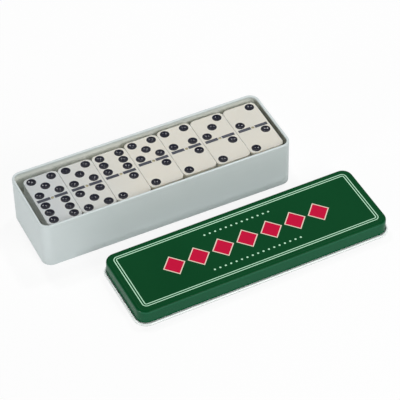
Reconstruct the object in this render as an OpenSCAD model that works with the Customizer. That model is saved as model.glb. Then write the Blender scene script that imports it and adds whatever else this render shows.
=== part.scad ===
// Domino box: a pressed tin with a slip-on lid, holding a double-six set of 28 dominoes.
// The tiles lie flat, seven side by side in four layers, with the tin open and its lid set down in front.
// Millimetres, +Z up. The origin is the middle of the face that the tin stands on, +X runs along the tin
// and +Y points to its rear.

/* [Dominoes] */
// Length of a domino
tile_l = 48; // [47.5:0.5:56]
// Width of a domino
tile_w = 24.9; // [23.9:0.1:28]
// Thickness of a domino
tile_t = 8.3; // [6.5:0.1:10]
// Radius of a domino's four upright corners
tile_corner_r = 4; // [2:0.25:4.5]
// Radius that softens the rims of a domino's two faces
tile_edge_r = 1; // [0.3:0.1:1.2]

/* [Pips and bars] */
// Diameter of a pip where its bowl meets the face
pip_d = 6.7; // [4:0.1:6.8]
// Depth of a pip's bowl
pip_depth = 0.9; // [0.5:0.1:1.5]
// Spacing of the pips, along and across
pip_pitch = 7.2; // [7.1:0.05:7.5]
// Distance from a domino's end to the middle of its outermost pips
pip_end = 4.4; // [4.2:0.1:4.8]
// Diameter of the point left standing in the middle of a bowl
nib_d = 1; // [0.8:0.1:2.2]
// Height of that point
nib_h = 0.3; // [0.2:0.05:0.5]
// Length of each of the two bars between the halves
bar_l = 9.2; // [6:0.2:9.6]
// Width of a bar
bar_w = 2.6; // [1.2:0.1:2.8]
// Depth of a bar's groove, which is rounded across
bar_depth = 0.5; // [0.3:0.05:0.6]
// Space between the two bars, where the spinner sits
bar_space = 3.3; // [3:0.1:4]

/* [Spinners] */
// Diameter of a spinner's head
spinner_head_d = 2.2; // [1.6:0.1:2.8]
// Thickness of a spinner's head at its edge
spinner_head_t = 0.5; // [0.3:0.1:0.8]
// Rise of the head's dome
spinner_dome = 0.2; // [0.1:0.05:0.3]
// Diameter of a spinner's shank
spinner_shank_d = 1.3; // [1:0.1:1.5]
// Length of a spinner's shank under its head
spinner_shank_l = 4; // [2.5:0.25:4.5]
// Distance from a domino's face down to the top of the spinner's dome
spinner_sink = 0.08; // [0.05:0.01:0.2]
// Clearance round a spinner in its hole
spinner_play = 0.04; // [0.02:0.01:0.08]

/* [Packing] */
// Gap between neighbouring dominoes in a layer
tile_gap = 0.1; // [0.1:0.05:0.5]
// Space between the left column and the tin's wall
left_space = 6.2; // [4.5:0.1:9]
// Space between the right column and the tin's wall
right_space = 2.8; // [1.9:0.1:6]
// Space in front of and behind a column that stands in the middle
side_space = 4.6; // [4.2:0.1:8]
// Height of the tin's rim above the top layer
head_space = 3.4; // [2.2:0.1:8]

/* [Tin] */
// Thickness of the tinplate
sheet = 0.3; // [0.2:0.05:0.4]
// Outer radius of the tin's upright corners
tin_corner_r = 7; // [6:0.25:8]
// Diameter of the inward curl along the rim
rim_curl_d = 1.8; // [1.2:0.1:2.2]
// Outer radius of the bend at the foot
foot_r = 1.2; // [0.6:0.1:1.2]
// Width of the flange that carries the base panel's rim
foot_flange = 0.8; // [0.5:0.1:0.8]
// Clearance between the base panel and the flange's edge
base_play = 0.05; // [0.02:0.01:0.1]

/* [Lid] */
// Height of the lid
lid_h = 12.4; // [9:0.2:20]
// Clearance between the lid's skirt and the tin's wall
lid_play = 0.15; // [0.1:0.05:0.5]
// Outer radius of the bend between the lid's top and its skirt
lid_edge_r = 2.2; // [0.8:0.1:2.5]
// Diameter of the outward curl at the foot of the skirt
lid_curl_d = 2.1; // [1.4:0.1:2.6]
// Free space between the lid lying on the table and the tin
lid_apart = 14.4; // [5:0.2:60]
// Distance of the lid's middle to the right of the tin's middle
lid_aside = 34.75; // [-60:0.25:60]
// Angle by which the lid lies out of line with the tin
lid_turn = 0.9; // [-5:0.1:5]

/* [Hidden] */
$fn = 64;
columns = 7;
layers = 4;
most_pips = 6;

// The top layer from left to right, each domino as [pips of its rear half, pips of its front half]
TOP_LAYER = [[5, 6], [5, 5], [6, 2], [5, 2], [4, 2], [3, 2], [2, 2]];
// How far each column's top domino has been left towards the rear of the middle
TOP_SHIFT = [-1.15, -1.15, -0.95, 0.95, 1.75, 0.95, 0.55];
WHOLE_SET = [for (low = [0 : most_pips]) for (high = [low : most_pips]) [low, high]];
LOWER_LAYERS = [for (pair = WHOLE_SET) if (!on_top(pair)) pair];
TILES = concat(LOWER_LAYERS, TOP_LAYER);
TILE_NODES = [for (halves = TILES) str("domino_", pair_name(halves))];
SPINNER_NODES = [for (halves = TILES) str("spinner_", pair_name(halves))];

function pair_name(halves) = str(min(halves), "_", max(halves));
function on_top(pair) = len([for (halves = TOP_LAYER) if (pair_name(halves) == pair_name(pair)) 1]) > 0;
function layer_of(index) = floor(index / columns);
function column_of(index) = index % columns;

tile_pitch = tile_w + tile_gap;
row_l = columns * tile_pitch - tile_gap;
inner_l = left_space + row_l + right_space;
inner_w = tile_l + 2 * side_space;
tin_l = inner_l + 2 * sheet;
tin_w = inner_w + 2 * sheet;
tin_h = sheet + layers * tile_t + head_space;
first_column_x = left_space + tile_w / 2 - inner_l / 2;

half_middle = tile_l / 2 - pip_end - pip_pitch;
bowl_r = (pip_d * pip_d / 4 + pip_depth * pip_depth) / (2 * pip_depth);
groove_r = (bar_w * bar_w / 4 + bar_depth * bar_depth) / (2 * bar_depth);
dome_r = (spinner_head_d * spinner_head_d / 4 + spinner_dome * spinner_dome) / (2 * spinner_dome);

lid_wall = lid_play + sheet;
lid_corner_r = tin_corner_r + lid_wall;
lid_l = tin_l + 2 * lid_wall;
lid_w = tin_w + 2 * lid_wall;
lid_curl_reach = lid_curl_d - sheet;
lid_y = -(tin_w / 2 + lid_apart + lid_curl_reach + lid_w / 2);

// Places of the pips in a half of a domino, in steps of the pitch, for 0 to 6 pips
DIAGONAL = [[1, 1], [-1, -1]];
CORNERS = concat(DIAGONAL, [[-1, 1], [1, -1]]);
MIDDLE = [[0, 0]];
SIDES = [[-1, 0], [1, 0]];
PIPS = [[], MIDDLE, DIAGONAL, concat(MIDDLE, DIAGONAL), CORNERS, concat(MIDDLE, CORNERS), concat(SIDES, CORNERS)];

// Carries a profile round a rectangle of outer size l by w. In the profile, x is the distance out from
// the middle of a corner's arc, so that x = r lies on the outside, and y is the height.
module round_the_sides(l, w, r) {
    run_l = l - 2 * r;
    run_w = w - 2 * r;
    for (end = [0, 180]) {
        rotate(end) translate([run_l / 2, run_w / 2, 0]) rotate_extrude(angle = 90) children();
        rotate(end) translate([-run_l / 2, run_w / 2, 0]) rotate([0, 0, 90]) rotate_extrude(angle = 90) children();
        rotate(end) translate([run_l / 2, run_w / 2, 0]) rotate([90, 0, 0]) linear_extrude(run_w) children();
        rotate(end) translate([-run_l / 2, run_w / 2, 0]) rotate([90, 0, 90]) linear_extrude(run_l) children();
    }
}

// A quarter of a bent sheet's section: outer radius r, from the +x side round to the +y side
module bend(r) {
    intersection() {
        difference() {
            circle(r);
            circle(r - sheet);
        }
        square(r);
    }
}

// Three quarters of a curl's section, open towards -y on its +x side
module curl(d) {
    difference() {
        circle(d = d);
        circle(d = d - 2 * sheet);
        translate([0, -d]) square(d);
    }
}

// Wall of the tin, with its rim curled inwards and its foot bent in under the base
module tin_body() {
    color([0.80, 0.83, 0.83]) round_the_sides(tin_l, tin_w, tin_corner_r) {
        translate([tin_corner_r - sheet, foot_r]) square([sheet, tin_h - rim_curl_d / 2 - foot_r]);
        translate([tin_corner_r - rim_curl_d / 2, tin_h - rim_curl_d / 2]) curl(rim_curl_d);
        translate([tin_corner_r - foot_r, foot_r]) mirror([0, 1]) bend(foot_r);
        translate([tin_corner_r - foot_r - foot_flange, 0]) square([foot_flange, sheet]);
    }
}

// Base panel: its rim lies on the foot's flange, and its middle is pressed down level with the foot
module tin_base() {
    rim_r = tin_corner_r - foot_r;
    panel_r = rim_r - foot_flange - base_play;
    panel_l = tin_l - 2 * (tin_corner_r - panel_r);
    panel_w = tin_w - 2 * (tin_corner_r - panel_r);
    color([0.74, 0.77, 0.77]) {
        round_the_sides(panel_l, panel_w, panel_r) {
            square([panel_r, sheet]);
            translate([panel_r - sheet, 0]) square([sheet, 2 * sheet]);
            translate([panel_r - sheet, sheet]) square([rim_r - panel_r + sheet, sheet]);
        }
        translate([panel_r - panel_l / 2, panel_r - panel_w / 2, 0])
            cube([panel_l - 2 * panel_r, panel_w - 2 * panel_r, sheet]);
    }
}

// Lid: a drawn pan with a bent top edge and an outward curl at the foot of its skirt
module lid() {
    color([0.07, 0.30, 0.16]) translate([lid_aside, lid_y, 0]) rotate(lid_turn) {
        round_the_sides(lid_l, lid_w, lid_corner_r) {
            translate([lid_corner_r - sheet, lid_curl_d / 2])
                square([sheet, lid_h - lid_edge_r - lid_curl_d / 2]);
            translate([lid_corner_r - lid_edge_r, lid_h - lid_edge_r]) bend(lid_edge_r);
            translate([0, lid_h - sheet]) square([lid_corner_r - lid_edge_r, sheet]);
            translate([lid_corner_r - sheet + lid_curl_d / 2, lid_curl_d / 2]) rotate(180) curl(lid_curl_d);
        }
        translate([lid_corner_r - lid_l / 2, lid_corner_r - lid_w / 2, lid_h - sheet])
            cube([lid_l - 2 * lid_corner_r, lid_w - 2 * lid_corner_r, sheet]);
    }
}

// Blank of a domino, its lower face on z = 0
module tile_blank() {
    r = tile_corner_r;
    e = tile_edge_r;
    round_the_sides(tile_w, tile_l, r) {
        square([r - e, tile_t]);
        translate([0, e]) square([r, tile_t - 2 * e]);
        for (z = [e, tile_t - e]) intersection() {
            translate([r - e, z]) circle(e);
            square([r, tile_t]);
        }
    }
    translate([r - tile_w / 2, r - tile_l / 2, 0]) cube([tile_w - 2 * r, tile_l - 2 * r, tile_t]);
}

// One pip's bowl, cut down from z = 0, with a point left standing in its middle
module pip() {
    difference() {
        translate([0, 0, bowl_r - pip_depth]) sphere(bowl_r);
        translate([0, 0, -pip_depth]) cylinder(h = nib_h, d1 = nib_d, d2 = 0);
    }
}

// The pips of one half of a domino
module half_pips(count) {
    for (place = PIPS[count]) translate([place[0] * pip_pitch, place[1] * pip_pitch, 0]) pip();
}

// A head and a shank, larger all round by play, with the middle of the domino's face at z = 0
module head_and_shank(head_h, play) {
    seat_z = -spinner_sink - spinner_dome - spinner_head_t;
    translate([0, 0, seat_z]) cylinder(h = head_h, d = spinner_head_d + 2 * play);
    translate([0, 0, seat_z - spinner_shank_l - play])
        cylinder(h = spinner_shank_l + play, d = spinner_shank_d + 2 * play);
}

// Puts a domino's face at its place in the box, with the middle of its upper face at the origin
module placed(index) {
    shift = layer_of(index) == layers - 1 ? TOP_SHIFT[column_of(index)] : 0;
    x = first_column_x + column_of(index) * tile_pitch;
    translate([x, shift, sheet + (layer_of(index) + 1) * tile_t]) children();
}

// One domino, bored for its spinner
module domino(index) {
    color([0.90, 0.88, 0.80]) placed(index) difference() {
        translate([0, 0, -tile_t]) tile_blank();
        translate([0, half_middle, 0]) half_pips(TILES[index][0]);
        translate([0, -half_middle, 0]) half_pips(TILES[index][1]);
        for (side = [-1, 1]) translate([side * (bar_space + bar_l) / 2, 0, groove_r - bar_depth])
            rotate([0, 90, 0]) cylinder(h = bar_l, r = groove_r, center = true);
        head_and_shank(spinner_head_t + 2 * (spinner_dome + spinner_sink), spinner_play);
    }
}

// One spinner: a brass pin with a low domed head
module spinner(index) {
    color([0.80, 0.66, 0.38]) placed(index) {
        head_and_shank(spinner_head_t, 0);
        translate([0, 0, -spinner_sink - spinner_dome]) intersection() {
            cylinder(h = spinner_dome, d = spinner_head_d);
            translate([0, 0, spinner_dome - dome_r]) sphere(dome_r);
        }
    }
}

tin_body();
tin_base();
lid();
for (index = [0 : len(TILES) - 1]) {
    domino(index);
    spinner(index);
}
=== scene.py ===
import math

import bmesh
import bpy
from mathutils import Matrix, Vector


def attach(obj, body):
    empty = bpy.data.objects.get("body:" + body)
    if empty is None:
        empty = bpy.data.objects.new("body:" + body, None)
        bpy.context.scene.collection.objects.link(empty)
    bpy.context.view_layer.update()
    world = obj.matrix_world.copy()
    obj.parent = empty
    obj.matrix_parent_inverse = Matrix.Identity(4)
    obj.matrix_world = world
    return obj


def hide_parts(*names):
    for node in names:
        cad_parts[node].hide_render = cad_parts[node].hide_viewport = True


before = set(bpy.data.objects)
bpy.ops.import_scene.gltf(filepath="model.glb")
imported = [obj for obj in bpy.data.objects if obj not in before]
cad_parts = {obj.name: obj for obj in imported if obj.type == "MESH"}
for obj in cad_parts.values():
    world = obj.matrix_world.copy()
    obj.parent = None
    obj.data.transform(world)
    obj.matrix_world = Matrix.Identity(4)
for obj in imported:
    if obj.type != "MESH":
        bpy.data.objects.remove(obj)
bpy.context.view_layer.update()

# --- Table, lamps and camera -----------------------------------------------------------------------
# The open tin and its lid stand on a plain white table in a white room. Two small lamps stand behind
# them, a wide one stands in front, and one at the left lights the tin's end.

MM = 0.001
ROOM_LIGHT = 0.15
TABLE_HALF = 3.0
TABLE_WHITE = 0.96
TABLE_SHADE = 0.12
LAMP_TARGET = (0.0, -0.02, 0.03)


class Link:
    """A node's output. An expression on links adds the Math nodes that work it out."""

    def __init__(self, tree, socket):
        self.tree = tree
        self.socket = socket

    def work(self, operation, *values):
        return self.tree.add("ShaderNodeMath", dict(enumerate(values)), operation=operation)

    def __add__(self, other):
        return self.work("ADD", self, other)

    def __radd__(self, other):
        return self.work("ADD", other, self)

    def __sub__(self, other):
        return self.work("SUBTRACT", self, other)

    def __rsub__(self, other):
        return self.work("SUBTRACT", other, self)

    def __mul__(self, other):
        return self.work("MULTIPLY", self, other)

    def __rmul__(self, other):
        return self.work("MULTIPLY", other, self)

    def __truediv__(self, other):
        return self.work("DIVIDE", self, other)

    def __rtruediv__(self, other):
        return self.work("DIVIDE", other, self)

    def __pow__(self, other):
        return self.work("POWER", self, other)

    def __rpow__(self, other):
        return self.work("POWER", other, self)

    def __mod__(self, other):
        return self.work("FLOORED_MODULO", self, other)

    def __rmod__(self, other):
        return self.work("FLOORED_MODULO", other, self)

    def __lt__(self, other):
        return self.work("LESS_THAN", self, other)

    def __gt__(self, other):
        return self.work("GREATER_THAN", self, other)

    def __neg__(self):
        return self.work("MULTIPLY", self, -1.0)

    def __abs__(self):
        return self.work("ABSOLUTE", self)

    def at_least(self, other):
        return self.work("MAXIMUM", self, other)

    def at_most(self, other):
        return self.work("MINIMUM", self, other)

    def clamped(self):
        """The value held between 0 and 1."""
        return self.at_least(0.0).at_most(1.0)

    def floor(self):
        return self.work("FLOOR", self)

    def sign(self):
        return self.work("SIGN", self)

    def root(self):
        return self.work("SQRT", self)

    def sin(self):
        return self.work("SINE", self)

    def cos(self):
        return self.work("COSINE", self)

    def axes(self):
        split = self.tree.node("ShaderNodeSeparateXYZ", {"Vector": self})
        return [Link(self.tree, output) for output in split.outputs]


class Tree:
    """Adds nodes to a material, a world or a geometry tree."""

    def __init__(self, owner):
        self.nodes = owner.nodes
        self.links = owner.links

    def node(self, kind, sockets=None, **settings):
        """A node of this kind: its settings first, then each socket's value, link or list of links."""
        made = self.nodes.new(kind)
        for name, value in settings.items():
            setattr(made, name, value)
        for key, value in (sockets or {}).items():
            self.feed(made.inputs[key], value)
        return made

    def add(self, kind, sockets=None, **settings):
        """The first shown output of a new node."""
        made = self.node(kind, sockets, **settings)
        return Link(self, next(output for output in made.outputs if output.enabled))

    def feed(self, socket, value):
        for item in value if isinstance(value, list) else [value]:
            if isinstance(item, Link):
                self.links.new(item.socket, socket)
            else:
                socket.default_value = item

    def mix(self, share, first, second):
        """Colour that goes from the first to the second as share goes from 0 to 1."""
        made = self.node("ShaderNodeMix", data_type="RGBA")
        for name, value in (("Factor", share), ("A", first), ("B", second)):
            wanted = "VALUE" if name == "Factor" else "RGBA"
            socket = next(s for s in made.inputs if s.name == name and s.type == wanted)
            self.feed(socket, value)
        return Link(self, next(s for s in made.outputs if s.type == "RGBA"))

    def noise(self, place, scale, detail=2.0, rough=0.5):
        sockets = {"Vector": place, "Scale": scale, "Detail": detail, "Roughness": rough}
        return self.add("ShaderNodeTexNoise", sockets)

    def stretch(self, place, scale):
        return self.add("ShaderNodeMapping", {"Vector": place, "Scale": scale})

    def place(self):
        """The point on the surface in the object's own coordinates, in metres."""
        return Link(self, self.node("ShaderNodeTexCoord").outputs["Object"])

    def bump(self, height, strength, distance):
        sockets = {"Height": height, "Strength": strength, "Distance": distance}
        return self.add("ShaderNodeBump", sockets)


def new_material(name):
    material = bpy.data.materials.new(name)
    material.use_nodes = True
    material.node_tree.nodes.clear()
    return material, Tree(material.node_tree)


def new_object(name, data):
    made = bpy.data.objects.new(name, data)
    bpy.context.scene.collection.objects.link(made)
    return made


def seen_directly(tree):
    """1 where the camera sees a surface, by itself, in a mirror or through glass, and 0 elsewhere."""
    path = tree.node("ShaderNodeLightPath")
    camera_ray, glossy_ray, glass_ray = [
        Link(tree, path.outputs["Is " + kind + " Ray"]) for kind in ("Camera", "Glossy", "Transmission")]
    return camera_ray.at_least(glossy_ray).at_least(glass_ray)


def hang_lamp(name, place, size, watts):
    """A round lamp at this place in metres, turned towards the tin."""
    lamp = bpy.data.lights.new(name, "AREA")
    lamp.shape = "DISK"
    lamp.size = size
    lamp.energy = watts
    aim = (Vector(place) - Vector(LAMP_TARGET)).to_track_quat("Z", "Y")
    new_object(name, lamp).matrix_world = Matrix.Translation(place) @ aim.to_matrix().to_4x4()


world = bpy.data.worlds.new("white_room")
bpy.context.scene.world = world
world.use_nodes = True
world.node_tree.nodes.clear()
room = Tree(world.node_tree)
room_strength = ROOM_LIGHT + (1.0 - ROOM_LIGHT) * seen_directly(room)
room_light = room.add("ShaderNodeBackground", {"Color": (1.0, 1.0, 1.0, 1.0), "Strength": room_strength})
room.node("ShaderNodeOutputWorld", {"Surface": room_light})

table_mesh = bpy.data.meshes.new("table_top")
table_corners = [(x * TABLE_HALF, y * TABLE_HALF, 0.0) for x, y in ((-1, -1), (1, -1), (1, 1), (-1, 1))]
table_mesh.from_pydata(table_corners, [], [(0, 1, 2, 3)])
new_object("table_top", table_mesh)
table_white, table_tree = new_material("table_white")
matt = table_tree.add("ShaderNodeBsdfDiffuse", {"Color": (TABLE_WHITE, TABLE_WHITE, TABLE_WHITE, 1.0)})
bright = table_tree.add("ShaderNodeEmission", {"Color": (1.0, 1.0, 1.0, 1.0), "Strength": 1.0})
table_blend = table_tree.add("ShaderNodeMixShader", {
    0: seen_directly(table_tree) * (1.0 - TABLE_SHADE), 1: matt, 2: bright})
table_tree.node("ShaderNodeOutputMaterial", {"Surface": table_blend})
table_mesh.materials.append(table_white)

hang_lamp("lamp_rear_left", place=(-0.03, 0.54, 0.99), size=0.12, watts=3.3)
hang_lamp("lamp_rear_right", place=(0.45, 0.31, 0.99), size=0.12, watts=3.3)
hang_lamp("lamp_front", place=(0.35, -1.05, 0.62), size=0.70, watts=8.6)
hang_lamp("lamp_left", place=(-1.20, -0.25, 0.20), size=0.40, watts=5.3)

# The camera looks at the middle of the top layer from the front left. Its distances are along its own
# axes and in millimetres, and its focal length is in widths of its sensor.
CAMERA_TURN = math.radians(-24.88)
CAMERA_RISE = math.radians(44.58)
CAMERA_ROLL = math.radians(-1.22)
CAMERA_ASIDE = -30.93
CAMERA_UP = 26.38
CAMERA_AWAY = 1349.1
CAMERA_FOCUS = 4.985
LAYER_MIDDLE = Vector((2.0, 0.426, 33.5))

back = Vector((math.sin(CAMERA_TURN) * math.cos(CAMERA_RISE),
               -math.cos(CAMERA_TURN) * math.cos(CAMERA_RISE), math.sin(CAMERA_RISE)))
level = Vector((math.cos(CAMERA_TURN), math.sin(CAMERA_TURN), 0.0))
upright = back.cross(level)
across = level * math.cos(CAMERA_ROLL) + upright * math.sin(CAMERA_ROLL)
along = upright * math.cos(CAMERA_ROLL) - level * math.sin(CAMERA_ROLL)
eye = LAYER_MIDDLE - across * CAMERA_ASIDE - along * CAMERA_UP + back * CAMERA_AWAY

camera = new_object("camera", bpy.data.cameras.new("camera"))
camera.data.sensor_width = 36.0
camera.data.lens = CAMERA_FOCUS * camera.data.sensor_width
camera.data.clip_start = 0.01
camera.data.clip_end = 20.0
camera.matrix_world = (Matrix.Translation(eye * MM)
                       @ Matrix((across, along, back)).transposed().to_4x4())
bpy.context.scene.camera = camera
bpy.context.scene.view_settings.view_transform = "Standard"

# --- Tin wall --------------------------------------------------------------------------------------
# One strip of bare tinplate, drawn round into a box with upright rounded corners. Its rim is curled
# inwards and its foot is bent in under the base. The plate is satin outside. Inside it is painted
# lighter, and lighter still low down, as painted light in the shade of the box.

SHEET = 0.3
TIN_L = 184.5
TIN_W = 57.8
TIN_CORNER = 7.0
TIN_H = 36.9
RIM_CURL = 1.8
FOOT_BEND = 1.2
FOOT_FLANGE = 0.8
BEND_STEPS = 8
CURL_STEPS_OUTSIDE = 24
CURL_STEPS_INSIDE = 16
CORNER_STEPS = 14
SIDE_STEPS = 24
SHARP_ANGLE = math.radians(35)
GRAIN_STRETCH = (60.0, 60.0, 2600.0)
GRAIN_SHARE = 0.4
MARKS_STRETCH = (900.0, 900.0, 90.0)
MARKS_FROM = 0.62
MARKS_DULL = 1.6
MOTTLE_DULL = 0.16


def arc(x, y, radius, start, end, steps):
    """Points on an arc of a section, from one angle to another, in degrees."""
    turns = [math.radians(start + (end - start) * step / steps) for step in range(steps + 1)]
    return [(x + radius * math.cos(turn), y + radius * math.sin(turn)) for turn in turns]


def stations(length, width, radius):
    """Where a section stands on its way round the box: x and y of the corner's centre, and direction."""
    far_x, far_y = length / 2 - radius, width / 2 - radius
    centres = [(far_x, far_y), (-far_x, far_y), (-far_x, -far_y), (far_x, -far_y)]
    stops = []
    for corner, (x, y) in enumerate(centres):
        for step in range(CORNER_STEPS + 1):
            stops.append((x, y, math.radians(90 * corner + 90 * step / CORNER_STEPS)))
        next_x, next_y = centres[(corner + 1) % 4]
        for step in range(1, SIDE_STEPS):
            share = step / SIDE_STEPS
            stops.append((x + (next_x - x) * share, y + (next_y - y) * share,
                          math.radians(90 * corner + 90)))
    return stops


def drawn_shell(name, section, finishes, stops, materials, closed=True):
    """Carries a section round the box. Each step of the section has the finish of its own number, and
    a section that isn't closed starts and ends in a flat panel."""
    bm = bmesh.new()
    rings = []
    for x, y, turn in stops:
        rings.append([bm.verts.new((x + reach * math.cos(turn), y + reach * math.sin(turn), z))
                      for reach, z in section])
    steps = len(section) if closed else len(section) - 1
    for here, there in zip(rings, rings[1:] + rings[:1]):
        for step in range(steps):
            after = (step + 1) % len(section)
            face = bm.faces.new((here[step], there[step], there[after], here[after]))
            face.material_index = finishes[step]
    if not closed:
        for step, finish in ((0, finishes[0]), (len(section) - 1, finishes[-1])):
            panel = bm.faces.new([ring[step] for ring in rings])
            panel.material_index = finish
    for face in bm.faces:
        face.smooth = True
    bmesh.ops.recalc_face_normals(bm, faces=bm.faces)
    bmesh.ops.scale(bm, vec=(MM, MM, MM), verts=bm.verts)
    mesh = bpy.data.meshes.new(name)
    bm.to_mesh(mesh)
    bm.free()
    mesh.set_sharp_from_angle(angle=SHARP_ANGLE)
    for material in materials:
        mesh.materials.append(material)
    return new_object(name, mesh)


def paint(red, green, blue):
    """A colour given from 0 to 255 on a screen's curve, as the shader takes it."""
    def linear(part):
        share = part / 255
        return share / 12.92 if share <= 0.04045 else ((share + 0.055) / 1.055) ** 2.4
    return (linear(red), linear(green), linear(blue), 1.0)


def finish_material(tree, **sockets):
    """Ends a material in a Principled BSDF with these sockets, named with _ for a space."""
    named = {key.replace("_", " "): value for key, value in sockets.items()}
    shader = tree.add("ShaderNodeBsdfPrincipled", named)
    tree.node("ShaderNodeOutputMaterial", {"Surface": shader})


def tinplate(name, light, dark, shine, low=None, low_from=0.0, low_span=1.0):
    """Bare tinplate: a faint rolled grain, soft mottling, and small marks from handling. Where a low
    colour is given, the plate takes it below the height low_from, over a span, both in mm. The low
    colour
    is painted lighting: painted light inside the tin, painted shade at the foot of the lid's bead."""
    material, tree = new_material(name)
    place = tree.place()
    mottle = tree.noise(place, scale=55.0, detail=3.0)
    grain = tree.noise(tree.stretch(place, GRAIN_STRETCH), scale=1.0)
    marks = tree.noise(tree.stretch(place, MARKS_STRETCH), scale=1.0, detail=4.0, rough=0.7)
    wear_and_highlight = (marks - MARKS_FROM).at_least(0.0) * MARKS_DULL
    color = tree.mix(mottle * (1.0 - GRAIN_SHARE) + grain * GRAIN_SHARE, paint(*dark), paint(*light))
    if low:
        depth = (low_from - place.axes()[2] / MM) / low_span
        color = tree.mix(depth.clamped(), color, paint(*low))
    rough = shine + (mottle - 0.5) * MOTTLE_DULL + wear_and_highlight
    normal = tree.bump(grain * 0.3 + mottle, strength=0.25, distance=0.00025)
    finish_material(tree, Base_Color=color, Metallic=0.1, Roughness=rough, Normal=normal,
                    Specular_IOR_Level=0.15)
    return material


satin_tin = tinplate("satin_tinplate", light=(208, 216, 216), dark=(200, 209, 209), shine=0.52)
# The inside is painted lighter than the outside, and lighter still low down: painted light in the box's
# shade.
painted_light_inner_tin = tinplate("inner_tinplate", light=(220, 225, 219), dark=(212, 218, 211), shine=0.55,
                     low=(245, 248, 240), low_from=34.0, low_span=2.5)

curl_x = TIN_CORNER - RIM_CURL / 2
curl_z = TIN_H - RIM_CURL / 2
bend_x = TIN_CORNER - FOOT_BEND
wall_section = (
    [(bend_x - FOOT_FLANGE, 0.0)]
    + arc(bend_x, FOOT_BEND, FOOT_BEND, -90, 0, BEND_STEPS)
    + arc(curl_x, curl_z, RIM_CURL / 2, 0, 270, CURL_STEPS_OUTSIDE)
    + arc(curl_x, curl_z, RIM_CURL / 2 - SHEET, 270, 0, CURL_STEPS_INSIDE)
    + arc(bend_x, FOOT_BEND, FOOT_BEND - SHEET, 0, -90, BEND_STEPS)
    + [(bend_x - FOOT_FLANGE, SHEET)]
)
# Outside lie the flange, the foot's bend, the upright wall and the curl.
outside_steps = 1 + BEND_STEPS + 1 + CURL_STEPS_OUTSIDE
wall_finishes = [0] * outside_steps + [1] * (len(wall_section) - outside_steps)
tin_wall = drawn_shell("tin_wall", wall_section, wall_finishes, stations(TIN_L, TIN_W, TIN_CORNER),
                       [satin_tin, painted_light_inner_tin])
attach(tin_wall, "tin")
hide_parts("tin_body")

# --- Tin base --------------------------------------------------------------------------------------
# A flat panel of the same plate. Its rim lies on the foot's flange and its middle is pressed down level
# with the foot.


def refinish(node_name, material):
    """Gives a solid of the frame this finish, in place of its plain one."""
    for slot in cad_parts[node_name].material_slots:
        slot.material = material


# The base takes the inside's finish, with its painted light.
refinish("tin_base", painted_light_inner_tin)

# --- Lid -------------------------------------------------------------------------------------------
# A shallow pan drawn from tinplate and lying on the table. Its outside is printed with dark green enamel
# and a double pale line, its skirt ends in a bare curled bead, and its inside is lacquered.

LID_PLAY = 0.15
LID_WALL = LID_PLAY + SHEET
LID_L = TIN_L + 2 * LID_WALL
LID_W = TIN_W + 2 * LID_WALL
LID_CORNER = TIN_CORNER + LID_WALL
LID_H = 12.4
LID_EDGE = 2.2
LID_LAND = 0.6
LID_CURL = 2.1
ENAMEL_ABOVE_BEAD = 0.9
LID_APART = 14.4
LID_X = 34.75
LID_Y = -(TIN_W / 2 + LID_APART + LID_CURL - SHEET + LID_W / 2)
LID_TURN = math.radians(0.9)
LID_EDGE_STEPS = 10
BEAD_STEPS_INSIDE = 20
BEAD_STEPS_OUTSIDE = 24
LINE_HALF_L = 87.46
LINE_HALF_W = 24.43
LINE_CORNER = 3.0
LINE_STEP = 1.67
LINE_WIDTH = 0.62
LOZENGES = 7
LOZENGE_STEP = 18.0
LOZENGE_HALF_L = 7.2
LOZENGE_HALF_W = 8.0
LOZENGE_SLOPE = 5.4
LOZENGE_RIM = 0.7
# Each row of dots has its place across the lid and its count.
DOT_ROWS = ((15.6, 13), (-15.6, 17))
DOT_STEP = 4.0
DOT_RADIUS = 0.7
PRINT_BLUR = 0.06
PRINT_Z = LID_H - 0.2
PRINT_RAISED = 2.0
ENAMEL_DEEP = (6, 64, 32)
ENAMEL_BRIGHT = (11, 73, 38)
# The skirt's greens are lighter than the top's, as painted light on its upright faces.
SKIRT_LIT_DEEP = (7, 79, 49)
SKIRT_LIT_BRIGHT = (13, 87, 55)
PALE_MINT = (192, 238, 206)
CREAM = (238, 216, 198)
CRIMSON = (200, 22, 62)
# A paler green for the painted highlight on the bend.
BEND_HIGHLIGHT_GREEN = (48, 112, 82)
# The varnish starts below VARNISH_Z. A paler line on the bend, a painted highlight, lies round the next
# height, and both fade over the span after it.
SKIRT_VARNISH = 0.28
VARNISH_Z = LID_H - 0.7
BEND_HIGHLIGHT_Z = LID_H - 1.5
BEND_FADE_SPAN = 0.6
BEND_HIGHLIGHT_SHARE = 0.5


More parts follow.
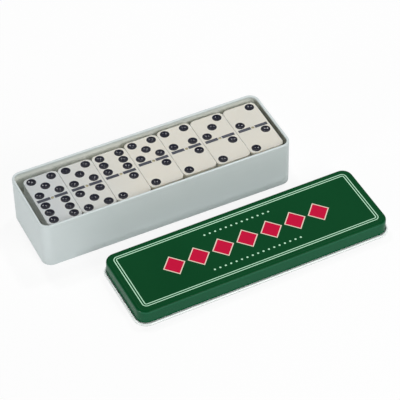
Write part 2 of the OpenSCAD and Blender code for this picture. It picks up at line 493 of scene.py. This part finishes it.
def lid_green():
    """Green enamel with its printing: two pale lines round the edge, a row of crimson lozenges, and two
    rows of dots. The skirt has a thin varnish and is painted a lighter green, as painted light on its
    upright faces. A paler line round the bend at its top is a painted highlight."""
    material, tree = new_material("green_enamel")
    place = tree.place()
    x, y, z = tree.add("ShaderNodeMapping", {
        "Vector": place, "Location": (LID_X * MM, LID_Y * MM, 0.0), "Rotation": (0.0, 0.0, LID_TURN),
        "Scale": (MM, MM, MM)}, vector_type="TEXTURE").axes()

    def printed(inset):
        """1 where a shape is printed, from the distance in mm past its edge."""
        return (0.5 - inset / PRINT_BLUR).clamped()

    def row(step, count):
        """The distance along the row from the nearest of its places, and 1 inside the row's length."""
        return x - (x / step + 0.5).floor() * step, abs(x) < step * count / 2

    beside_x = abs(x) - (LINE_HALF_L - LINE_CORNER)
    beside_y = abs(y) - (LINE_HALF_W - LINE_CORNER)
    past = (beside_x.at_least(0.0) ** 2.0 + beside_y.at_least(0.0) ** 2.0).root()
    from_line = past + beside_x.at_least(beside_y).at_most(0.0) - LINE_CORNER
    lines = printed(abs(from_line).at_most(abs(from_line + LINE_STEP)) - LINE_WIDTH / 2)

    beside, in_row = row(LOZENGE_STEP, LOZENGES)
    lozenge = (abs(beside) / LOZENGE_HALF_L + abs(y) / LOZENGE_HALF_W - 1.0) * LOZENGE_SLOPE
    rim = printed(lozenge - LOZENGE_RIM) * in_row
    heart = printed(lozenge) * in_row
    dots = 0.0
    for row_y, count in DOT_ROWS:
        beside, in_row = row(DOT_STEP, count)
        dots = printed((beside ** 2.0 + (y - row_y) ** 2.0).root() - DOT_RADIUS) * in_row + dots

    on_top = z > PRINT_Z
    cloud = tree.noise(place, scale=14.0, detail=3.0)
    peel = tree.noise(place, scale=900.0)
    color = tree.mix(cloud, paint(*ENAMEL_DEEP), paint(*ENAMEL_BRIGHT))
    color = tree.mix((lines + dots) * on_top, color, paint(*PALE_MINT))
    color = tree.mix(rim * on_top, color, paint(*CREAM))
    color = tree.mix(heart * on_top, color, paint(*CRIMSON))
    skirt = ((VARNISH_Z - z) / BEND_FADE_SPAN).clamped()
    # Painted highlight: a paler green line round the bend.
    wear_and_highlight = (1.0 - abs(z - BEND_HIGHLIGHT_Z) / BEND_FADE_SPAN).at_least(0.0) * BEND_HIGHLIGHT_SHARE
    # Painted light: the upright skirt takes a lighter green.
    color = tree.mix(skirt, color, tree.mix(cloud, paint(*SKIRT_LIT_DEEP), paint(*SKIRT_LIT_BRIGHT)))
    color = tree.mix(wear_and_highlight, color, paint(*BEND_HIGHLIGHT_GREEN))
    rough = 0.34 + (cloud - 0.5) * 0.12
    normal = tree.bump(peel + (lines + dots + rim) * PRINT_RAISED, strength=0.06, distance=0.0001)
    finish_material(tree, Base_Color=color, Roughness=rough, Normal=normal, Specular_IOR_Level=0.02,
                    Coat_Weight=skirt * SKIRT_VARNISH, Coat_Roughness=0.2)
    return material


def lid_lacquer():
    """Clear lacquer on the tinplate inside the lid."""
    material, tree = new_material("clear_lacquer")
    cloud = tree.noise(tree.place(), scale=30.0, detail=3.0)
    color = tree.mix(cloud, paint(206, 204, 192), paint(188, 187, 176))
    finish_material(tree, Base_Color=color, Metallic=1.0, Roughness=0.36 + cloud * 0.1)
    return material


# The bead is painted lighter on top and darker at its foot: painted light above, painted shade where it
# meets the table.
bare_bead = tinplate("bare_bead", light=(244, 248, 246), dark=(236, 241, 239), shine=0.35,
                     low=(186, 193, 191), low_from=1.3, low_span=0.7)
edge_x = LID_CORNER - LID_EDGE
edge_z = LID_H - LID_EDGE
bead_x = LID_CORNER - SHEET + LID_CURL / 2
bead_z = LID_CURL / 2
lid_section = (
    [(edge_x - LID_LAND, LID_H)]
    + arc(edge_x, edge_z, LID_EDGE, 90, 0, LID_EDGE_STEPS)
    + [(LID_CORNER, bead_z + ENAMEL_ABOVE_BEAD)]
    + arc(bead_x, bead_z, LID_CURL / 2 - SHEET, 180, 450, BEAD_STEPS_INSIDE)
    + arc(bead_x, bead_z, LID_CURL / 2, 450, 180, BEAD_STEPS_OUTSIDE)
    + arc(edge_x, edge_z, LID_EDGE - SHEET, 0, 90, LID_EDGE_STEPS)
    + [(edge_x - LID_LAND, LID_H - SHEET)]
)
# Enamel and lacquer each cover the land, the bend and the upright skirt. The bead is bare from the
# enamel's foot, through both sides of its curl.
pan_steps = 1 + LID_EDGE_STEPS + 1
bead_steps = 1 + BEAD_STEPS_INSIDE + 1 + BEAD_STEPS_OUTSIDE
lid_finishes = [0] * pan_steps + [1] * bead_steps + [2] * pan_steps
lid_shell = drawn_shell("lid_shell", lid_section, lid_finishes, stations(LID_L, LID_W, LID_CORNER),
                        [lid_green(), bare_bead, lid_lacquer()], closed=False)
laid = Matrix.Translation((LID_X * MM, LID_Y * MM, 0.0)) @ Matrix.Rotation(LID_TURN, 4, "Z")
lid_shell.data.transform(laid)
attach(lid_shell, "lid")
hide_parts("lid")

# --- Dominoes --------------------------------------------------------------------------------------
# A double-six set moulded from ivory plastic and tumbled smooth. The pips are drilled with a bit that
# leaves a small cone standing in each bowl. Bowls are filled with glossy navy paint and bars with a
# rougher coat of it, painted paler as painted sheen.

TILE_L = 48.0
TILE_W = 24.9
TILE_T = 8.3
TILE_GAP = 0.1
LEFT_SPACE = 6.2
COLUMNS = 7
LAYERS = 4
MOST_PIPS = 6
# A pair's rear half comes first, and a shift is how far a domino of the top layer has slid to the rear.
TOP_LAYER = [(5, 6), (5, 5), (6, 2), (5, 2), (4, 2), (3, 2), (2, 2)]
TOP_SHIFT = [-1.15, -1.15, -0.95, 0.95, 1.75, 0.95, 0.55]
DOMINO_SIZES = {
    "Length": TILE_L, "Width": TILE_W, "Thickness": TILE_T, "Corner radius": 4.0, "Edge radius": 0.5,
    "Pip radius": 3.35, "Pip depth": 0.9, "Pip pitch": 7.2, "Half middle": 12.4, "Nib radius": 0.5,
    "Nib height": 0.3, "Bar length": 9.2, "Bar width": 2.6, "Bar depth": 0.5, "Bar middle": 6.25,
    "Hole radius": 1.14, "Hole depth": 0.78,
}
CORNER_SIDES = 8
EDGE_RINGS = 5
PIP_SIDES = 28
BOWL_RINGS = 18
BAR_RINGS = 8
# Points nearer than WELD are one, NUDGE keeps a whole number on its own side of a step, and what lies
# above FACE_LEVEL is in the face.
WELD = 0.005
NUDGE = 0.01
FACE_LEVEL = -0.001
# Painted shade: the ivory turns darker and cooler towards the left end, from this x in mm over this
# span.
LEFT_SHADE_FROM = -15.0
LEFT_SHADE_SPAN = 60.0


def domino_tree():
    """Geometry nodes for one domino, whose face lies at height 0. The face is filled between the
    outlines of all that is cut in it, and each hollow hangs from its own outline."""
    group = bpy.data.node_groups.new("domino", "GeometryNodeTree")

    def inputs(kind, names):
        for name in names:
            group.interface.new_socket(name, in_out="INPUT", socket_type=kind)

    inputs("NodeSocketFloat", DOMINO_SIZES)
    inputs("NodeSocketInt", ("Rear pips", "Front pips"))
    inputs("NodeSocketVector", ("Place",))
    inputs("NodeSocketMaterial", ("Plastic", "Pip paint", "Bar paint"))
    group.interface.new_socket("Geometry", in_out="OUTPUT", socket_type="NodeSocketGeometry")
    tree = Tree(group)
    entry = tree.node("NodeGroupInput")
    size = {output.name: Link(tree, output) for output in entry.outputs if output.name}

    def point(x=0.0, y=0.0, z=0.0):
        return tree.add("ShaderNodeCombineXYZ", {"X": x, "Y": y, "Z": z})

    def position():
        return tree.add("GeometryNodeInputPosition").axes()

    def grid(columns, rows):
        """A grid and, for each of its points, the number of its column and of its row."""
        made = tree.add("GeometryNodeMeshGrid", {"Size X": float(columns), "Size Y": float(rows),
                                                 "Vertices X": columns + 1, "Vertices Y": rows + 1})
        x, y, _ = position()
        return made, x + columns / 2, y + rows / 2

    def moved(mesh, x, y, z):
        return tree.add("GeometryNodeSetPosition", {"Geometry": mesh, "Position": point(x, y, z)})

    def turned(radius_of, depth_of, rings, sides):
        """A surface turned about Z, given its radius and depth from the share of the way down it."""
        mesh, side, ring = grid(sides, rings)
        turn = side * (math.tau / sides)
        down = ring / rings
        return moved(mesh, radius_of(down) * turn.cos(), radius_of(down) * turn.sin(), depth_of(down))

    def circle(radius):
        sockets = {"Resolution": PIP_SIDES, "Radius": radius}
        return tree.add("GeometryNodeCurvePrimitiveCircle", sockets, mode="RADIUS")

    def welded(mesh):
        return tree.add("GeometryNodeMergeByDistance", {"Geometry": mesh, "Distance": WELD})

    def joined(*meshes):
        return tree.add("GeometryNodeJoinGeometry", {"Geometry": list(meshes)})

    def realized(instances):
        return tree.add("GeometryNodeRealizeInstances", {"Geometry": instances})

    def copied(points, instance):
        return tree.add("GeometryNodeInstanceOnPoints", {"Points": points, "Instance": instance})

    def filled(outlines):
        return tree.add("GeometryNodeFillCurve", {"Curve": outlines})

    def finished(mesh, material):
        return tree.add("GeometryNodeSetMaterial", {"Geometry": mesh, "Material": size[material]})

    def outline(mesh):
        """The edges of a mesh that lie in the domino's face."""
        sockets = {"Mesh": mesh, "Selection": position()[2] > FACE_LEVEL}
        return tree.add("GeometryNodeMeshToCurve", sockets)

    # The blank's side runs round four corners, and its rings lean in at the lower and the upper edge.
    around = CORNER_SIDES + 1
    mesh, side, ring = grid(4 * around, 2 * EDGE_RINGS + 1)
    quarter = ((side + NUDGE) / around).floor()
    turn = (quarter + (side - quarter * around) / CORNER_SIDES) * (math.pi / 2)
    facing = (quarter + 0.5) * (math.pi / 2)
    upper = (ring + NUDGE) > EDGE_RINGS + 1
    lean = (ring - upper - EDGE_RINGS) * (math.pi / 2 / EDGE_RINGS)
    reach = size["Corner radius"] - size["Edge radius"] * (1.0 - lean.cos())
    x = facing.cos().sign() * (size["Width"] / 2 - size["Corner radius"]) + reach * turn.cos()
    y = facing.sin().sign() * (size["Length"] / 2 - size["Corner radius"]) + reach * turn.sin()
    z = ((upper * 2.0 - 1.0) * (size["Thickness"] / 2 - size["Edge radius"])
         + size["Edge radius"] * lean.sin() - size["Thickness"] / 2)
    shell = welded(moved(mesh, x, y, z))
    rim = outline(shell)

    # Each half has nine places for pips. Odd numbers show the middle one, one pair of corners shows from
    # 2 and the other from 4, and the middles of the left and right sides show for 6.
    span = size["Pip pitch"] * 2.0
    places = tree.add("GeometryNodeMeshGrid", {
        "Size X": span, "Size Y": span, "Vertices X": 3, "Vertices Y": 3})
    column, row, _ = position()
    column = (column / size["Pip pitch"] + 0.5).floor()
    row = (row / size["Pip pitch"] + 0.5).floor()
    slant = column * row
    in_middle = (abs(column) + abs(row)) < 0.5
    at_side = (abs(column) > 0.5) * (abs(row) < 0.5)

    def pip_places(count, sign):
        odd = (count % 2.0) > 0.5
        shown = (in_middle * odd + (slant > 0.5) * (count > 1.5)
                 + (slant < -0.5) * (count > 3.5) + at_side * (count > 5.5))
        kept = tree.add("GeometryNodeDeleteGeometry", {"Geometry": places, "Selection": shown < 0.5},
                        domain="POINT")
        offset = point(y=size["Half middle"] * sign)
        return tree.add("GeometryNodeSetPosition", {"Geometry": kept, "Offset": offset})

    pips = joined(pip_places(size["Rear pips"], 1.0), pip_places(size["Front pips"], -1.0))

    # Each bar is a trough that is round across, with upright ends. Its width and depth give its radius.
    groove = (size["Bar width"] ** 2.0 / 4.0 + size["Bar depth"] ** 2.0) / (size["Bar depth"] * 2.0)
    mesh, along, across = grid(3, BAR_RINGS)
    x = ((along > 1.5) - 0.5) * size["Bar length"]
    y = (across / BAR_RINGS - 0.5) * size["Bar width"]
    inner = (along > 0.5) * (along < 2.5)
    z = (groove - size["Bar depth"] - (groove ** 2.0 - y ** 2.0).root()) * inner
    trough = welded(moved(mesh, x, y, z))
    bar_spots = tree.add("GeometryNodeMeshLine", {
        "Count": 2, "Start Location": point(x=-size["Bar middle"]),
        "Offset": point(x=size["Bar middle"] * 2.0)})

    mouths = copied(pips, circle(size["Pip radius"]))
    edges = joined(rim, mouths, copied(bar_spots, outline(trough)), circle(size["Hole radius"]))
    under = tree.add("GeometryNodeTransform", {
        "Geometry": filled(rim), "Translation": point(z=-size["Thickness"])})
    faces = tree.add("GeometryNodeSetShadeSmooth", {
        "Geometry": joined(filled(realized(edges)), under), "Shade Smooth": False})

    # Each bowl is part of a sphere, with the bit's cone left standing in its middle.
    sphere = (size["Pip radius"] ** 2.0 + size["Pip depth"] ** 2.0) / (size["Pip depth"] * 2.0)

    def bowl_radius(down):
        return size["Pip radius"] * (1.0 - down)

    def bowl_depth(down):
        r = bowl_radius(down)
        floor = sphere - size["Pip depth"] - (sphere ** 2.0 - r ** 2.0).root()
        nib = size["Nib height"] * (1.0 - r / size["Nib radius"]) - size["Pip depth"]
        return floor.at_least(nib)

    def recess_radius(down):
        return size["Hole radius"] * (1.0 - (down * 2.0 - 1.0).at_least(0.0))

    def recess_depth(down):
        return -size["Hole depth"] * (down * 2.0).at_most(1.0)

    bowls = copied(pips, turned(bowl_radius, bowl_depth, BOWL_RINGS, PIP_SIDES))
    recess = turned(recess_radius, recess_depth, 2, PIP_SIDES)
    whole = joined(finished(joined(shell, faces, recess), "Plastic"), finished(bowls, "Pip paint"),
                   finished(copied(bar_spots, trough), "Bar paint"))
    whole = welded(realized(whole))
    whole = tree.add("GeometryNodeTransform", {"Geometry": whole, "Translation": size["Place"]})
    whole = tree.add("GeometryNodeTransform", {"Geometry": whole, "Scale": (MM, MM, MM)})
    tree.node("NodeGroupOutput", {"Geometry": whole})
    return group


def ivory():
    """Ivory plastic: warm in its body and faintly clouded. Towards the left end it is painted darker
    and cooler, as painted shade.
    """
    material, tree = new_material("ivory_plastic")
    place = tree.place()
    cloud = tree.noise(place, scale=42.0, detail=3.0)
    fine = tree.noise(place, scale=700.0, detail=3.0, rough=0.6)
    # Painted shade: darker and cooler towards the left end.
    left = ((LEFT_SHADE_FROM - place.axes()[0] / MM) / LEFT_SHADE_SPAN).clamped()
    color = tree.mix(cloud, paint(226, 222, 210), paint(218, 216, 207))
    color = tree.mix(left, color, paint(203, 207, 207))
    rough = 0.3 + (fine - 0.5) * 0.14
    normal = tree.bump(fine, strength=0.05, distance=0.0001)
    finish_material(tree, Base_Color=color, Roughness=rough, Normal=normal, Specular_IOR_Level=0.3,
                    Subsurface_Weight=0.8, Subsurface_Radius=(0.0032, 0.003, 0.0028),
                    Subsurface_Scale=0.8)
    return material


def navy(name, light, dark, shine):
    """Navy paint with a fine uneven skin: thick and glossy in the bowls, rougher in the bars, where it
    is painted paler as painted sheen.
    """
    material, tree = new_material(name)
    place = tree.place()
    skin = tree.noise(place, scale=1200.0, detail=3.0)
    color = tree.mix(tree.noise(place, scale=160.0), paint(*dark), paint(*light))
    normal = tree.bump(skin, strength=0.02, distance=0.00005)
    finish_material(tree, Base_Color=color, Roughness=shine + skin * 0.05, Specular_IOR_Level=0.2,
                    Normal=normal)
    return material


def set_order():
    """The 28 dominoes as pairs of pips: the hidden layers from the bottom up, then the top layer."""
    top = {tuple(sorted(pair)) for pair in TOP_LAYER}
    pairs = [(low, high) for low in range(MOST_PIPS + 1) for high in range(low, MOST_PIPS + 1)]
    return [pair for pair in pairs if pair not in top] + TOP_LAYER


ivory_plastic = ivory()
pip_paint = navy("pip_paint", light=(9, 11, 38), dark=(3, 4, 20), shine=0.03)
# The bars' paler navy is painted sheen.
bar_paint_with_sheen = navy("bar_paint_with_sheen", light=(66, 69, 82), dark=(52, 55, 66), shine=0.3)
domino_nodes = domino_tree()
input_ids = {item.name: item.identifier for item in domino_nodes.interface.items_tree
             if item.in_out == "INPUT"}


def domino_mesh(name, values):
    """The plain mesh that the tree makes from its sizes and these values, with its faces outwards."""
    maker = new_object("maker", bpy.data.meshes.new("maker"))
    step = maker.modifiers.new("domino", "NODES")
    step.node_group = domino_nodes
    for key, value in {**DOMINO_SIZES, **values}.items():
        step[input_ids[key]] = value
    graph = bpy.context.evaluated_depsgraph_get()
    mesh = bpy.data.meshes.new_from_object(maker.evaluated_get(graph))
    bpy.data.objects.remove(maker)
    bm = bmesh.new()
    bm.from_mesh(mesh)
    bmesh.ops.recalc_face_normals(bm, faces=bm.faces)
    bm.to_mesh(mesh)
    bm.free()
    mesh.name = name
    return mesh


first_x = LEFT_SPACE + TILE_W / 2 - TIN_L / 2 + SHEET
for number, (rear, front) in enumerate(set_order()):
    layer, column = divmod(number, COLUMNS)
    pair = "%d_%d" % tuple(sorted((rear, front)))
    shift = TOP_SHIFT[column] if layer == LAYERS - 1 else 0.0
    face_middle = (first_x + column * (TILE_W + TILE_GAP), shift, SHEET + (layer + 1) * TILE_T)
    tile = new_object("tile_" + pair, domino_mesh("tile_" + pair, {
        "Rear pips": rear, "Front pips": front, "Place": face_middle, "Plastic": ivory_plastic,
        "Pip paint": pip_paint, "Bar paint": bar_paint_with_sheen}))
    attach(tile, "tile_" + pair)
    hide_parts("domino_" + pair)

# --- Spinners --------------------------------------------------------------------------------------
# A brass pin with a low domed head, pressed into the middle of each domino so that the domino can be
# spun on it. The head lies a hair below the face.


def brass():
    """Polished brass with fine tarnish."""
    material, tree = new_material("polished_brass")
    tarnish = tree.noise(tree.place(), scale=500.0, detail=3.0)
    color = tree.mix(tarnish, paint(158, 152, 122), paint(98, 93, 70))
    finish_material(tree, Base_Color=color, Metallic=0.8, Roughness=0.42 + tarnish * 0.16)
    return material


polished_brass = brass()
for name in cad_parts:
    if name.startswith("spinner_"):
        refinish(name, polished_brass)
